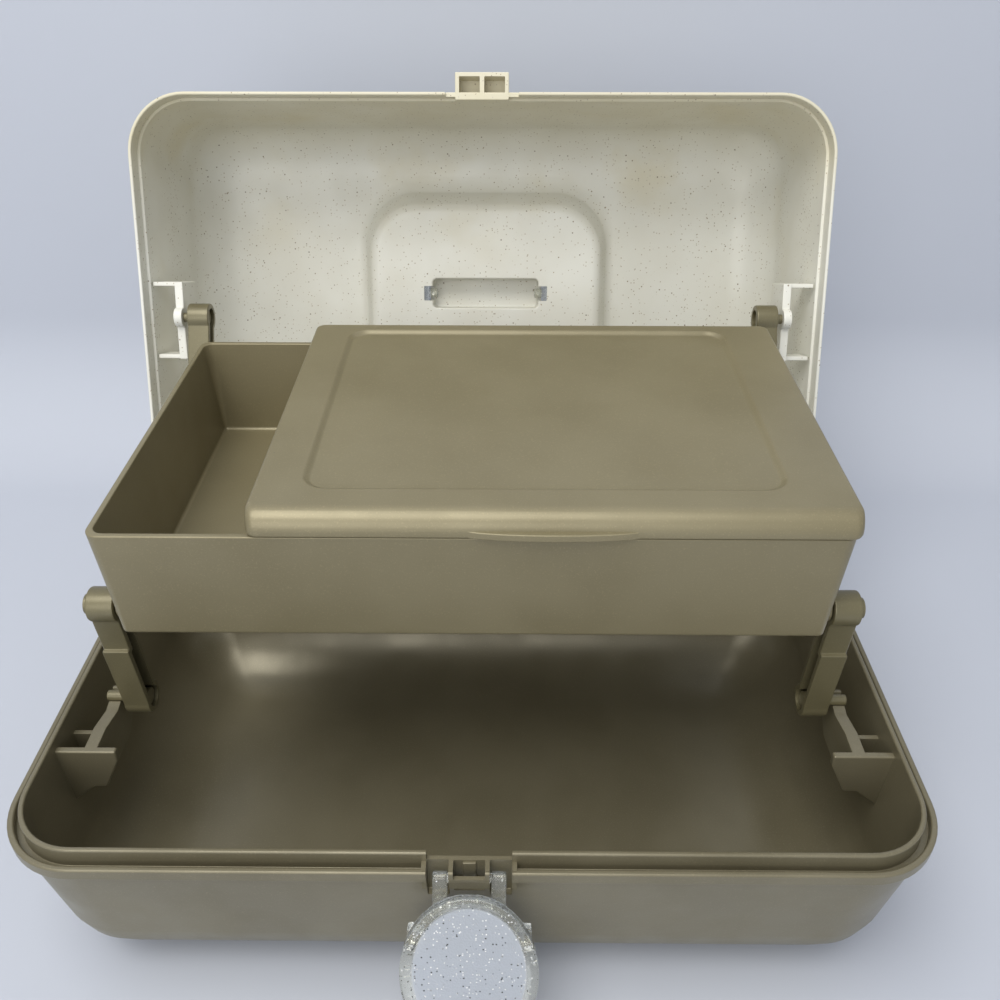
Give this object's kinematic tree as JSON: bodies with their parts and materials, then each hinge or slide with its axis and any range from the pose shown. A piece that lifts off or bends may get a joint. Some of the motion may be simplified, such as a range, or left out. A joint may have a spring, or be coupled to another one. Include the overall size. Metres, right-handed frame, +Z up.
{
  "type": "makeup storage case",
  "caption": "Moulded make-up case with a hinged lid, a cantilever tray with a flap cover that rises with the lid, a fold-down handle in the lid and a draw latch.",
  "frame": {"origin": "centre of the base's underside, on the surface it stands on", "axes": "+X to the right as seen from the latch, +Y to the back where the lid hinges, +Z up"},
  "size_m": [0.33, 0.3723, 0.2777],
  "materials": {
    "base_plastic": "satin moulded",
    "lid_plastic": "satin moulded",
    "tray_plastic": "satin moulded",
    "arm_plastic": "satin moulded",
    "clear_plastic": "clear with fine flakes",
    "steel": "plain"
  },
  "bodies": {
    "base": {"base_shell": "base_plastic", "hinge_pin_left": "steel", "hinge_pin_right": "steel"},
    "lid": {"lid_shell": "lid_plastic"},
    "handle": {"handle": "clear_plastic"},
    "front_arm_left": {"front_arm_left": "arm_plastic"},
    "front_arm_right": {"front_arm_right": "arm_plastic"},
    "tray": {"tray_body": "tray_plastic", "tray_pin_left": "arm_plastic", "tray_pin_right": "arm_plastic", "cover_pin_left": "steel", "cover_pin_right": "steel"},
    "tray_cover": {"tray_cover": "tray_plastic"},
    "rear_arm_left": {"rear_arm_left": "arm_plastic"},
    "rear_arm_right": {"rear_arm_right": "arm_plastic"},
    "latch_link": {"latch_link": "clear_plastic"},
    "latch_paddle": {"latch_paddle": "clear_plastic"}
  },
  "joints": [
    {"name": "lid_hinge", "type": "hinge", "parent": "base", "child": "lid", "pos_m": [0, 0.103, 0.083], "axis": [1, 0, 0], "range_deg": [0, 111]},
    {"name": "handle_fold", "type": "hinge", "parent": "lid", "child": "handle", "pos_m": [0, 0.21079, 0.15731], "axis": [-1, 0, 0], "range_deg": [0, 90]},
    {"name": "front_arm_left_swing", "type": "hinge", "parent": "base", "child": "front_arm_left", "pos_m": [0, -0.018, 0.079], "axis": [1, 0, 0], "range_deg": [0, 66.21]},
    {"name": "front_arm_right_swing", "type": "hinge", "parent": "base", "child": "front_arm_right", "pos_m": [0, -0.018, 0.079], "axis": [1, 0, 0], "range_deg": [0, 66.21]},
    {"name": "tray_level", "type": "hinge", "parent": "front_arm_left", "child": "tray", "pos_m": [0, -0.02346, 0.13272], "axis": [-1, 0, 0], "range_deg": [0, 66.21]},
    {"name": "rear_arm_left_swing", "type": "hinge", "parent": "lid", "child": "rear_arm_left", "pos_m": [0, 0.13532, 0.17557], "axis": [1, 0, 0], "range_deg": [0, 24.28]},
    {"name": "rear_arm_right_swing", "type": "hinge", "parent": "lid", "child": "rear_arm_right", "pos_m": [0, 0.13532, 0.17557], "axis": [1, 0, 0], "range_deg": [0, 24.28]},
    {"name": "cover_hinge", "type": "hinge", "parent": "tray", "child": "tray_cover", "pos_m": [0, 0.1095, 0.1777], "axis": [1, 0, 0], "range_deg": [-100, 0]},
    {"name": "latch_swing", "type": "hinge", "parent": "base", "child": "latch_link", "pos_m": [0, -0.0952, 0.074], "axis": [1, 0, 0], "range_deg": [-80, 0]},
    {"name": "paddle_swing", "type": "hinge", "parent": "latch_link", "child": "latch_paddle", "pos_m": [0, -0.10412, 0.05488], "axis": [1, 0, 0], "range_deg": [0, 35]}
  ],
  "couplings": [
    {"joint": "front_arm_left_swing", "follows": "lid_hinge", "ratio": 0.5964},
    {"joint": "front_arm_right_swing", "follows": "lid_hinge", "ratio": 0.5964},
    {"joint": "tray_level", "follows": "lid_hinge", "ratio": 0.5964},
    {"joint": "rear_arm_left_swing", "follows": "lid_hinge", "ratio": 0.21868},
    {"joint": "rear_arm_right_swing", "follows": "lid_hinge", "ratio": 0.21868}
  ]
}
